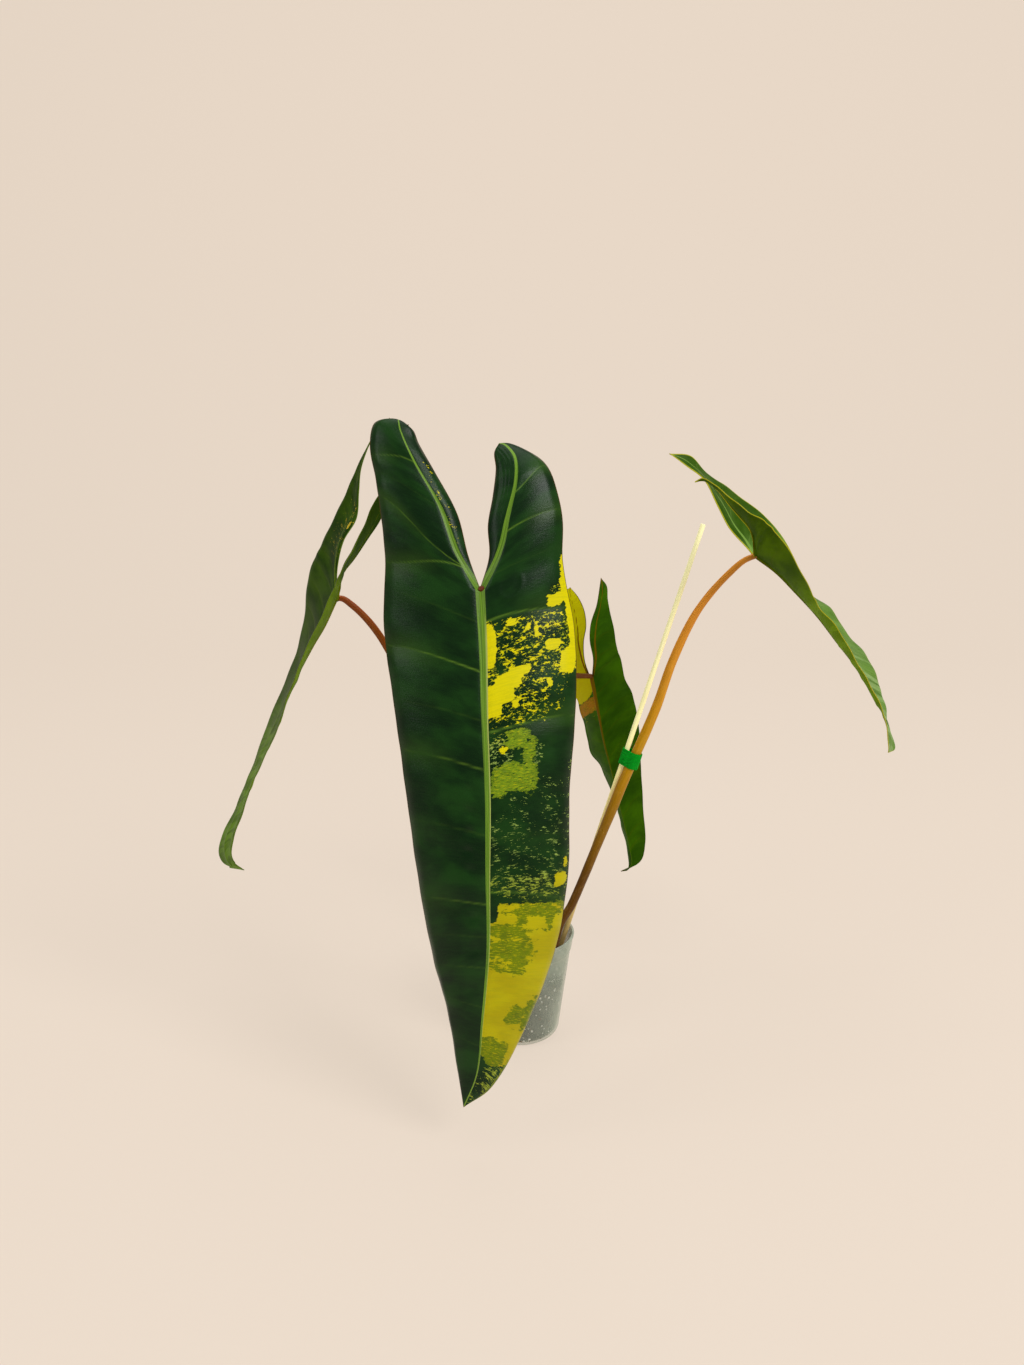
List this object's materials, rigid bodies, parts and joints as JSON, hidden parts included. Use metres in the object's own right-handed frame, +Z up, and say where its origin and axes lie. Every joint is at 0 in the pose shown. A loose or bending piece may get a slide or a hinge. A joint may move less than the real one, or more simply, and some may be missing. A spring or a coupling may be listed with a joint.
{
  "type": "potted philodendron",
  "caption": "Long-leaved philodendron with a yellow-patched leaf in a small frosted plastic pot, held up by a bamboo stick and a green strap.",
  "frame": {"origin": "centre of the flat underside of the pot, on the surface it stands on", "axes": "+Z up; -Y is the side the patched leaf faces, towards the viewer; +X is towards the leaf held by the bamboo stick"},
  "size_m": [0.5229, 0.3378, 0.4805],
  "materials": {
    "pot_plastic": "frosted translucent",
    "potting_mix": "damp and rough",
    "green_stem": "fresh and ringed",
    "amber_stalk": "smooth and satin",
    "brown_stalk": "smooth and satin",
    "pale_sheath": "papery",
    "dry_sheath": "dry and papery",
    "root_skin": "rough",
    "patched_leaf": "glossy, green patched with yellow",
    "green_leaf": "glossy",
    "bamboo": "smooth and satin",
    "green_strap": "looped fabric",
    "bark": "rough",
    "pumice": "rough and matt"
  },
  "bodies": {
    "root": {"pot": "pot_plastic", "substrate": "potting_mix", "stem": "green_stem", "petiole_front": "brown_stalk", "petiole_left": "brown_stalk", "petiole_right": "amber_stalk", "petiole_back": "brown_stalk", "sheath_new": "pale_sheath", "sheath_dry": "dry_sheath", "root_front": "root_skin", "root_back": "root_skin", "leaf_front": "patched_leaf", "leaf_left": "green_leaf", "leaf_right": "green_leaf", "leaf_back": "green_leaf", "bamboo_stake": "bamboo", "plant_tie": "green_strap", "top_pumice_1": "pumice", "top_pumice_2": "pumice", "top_bark_3": "bark", "top_pumice_4": "pumice", "top_bark_5": "bark", "top_bark_6": "bark", "top_pumice_7": "pumice", "top_bark_8": "bark", "top_pumice_9": "pumice"}
  },
  "joints": []
}
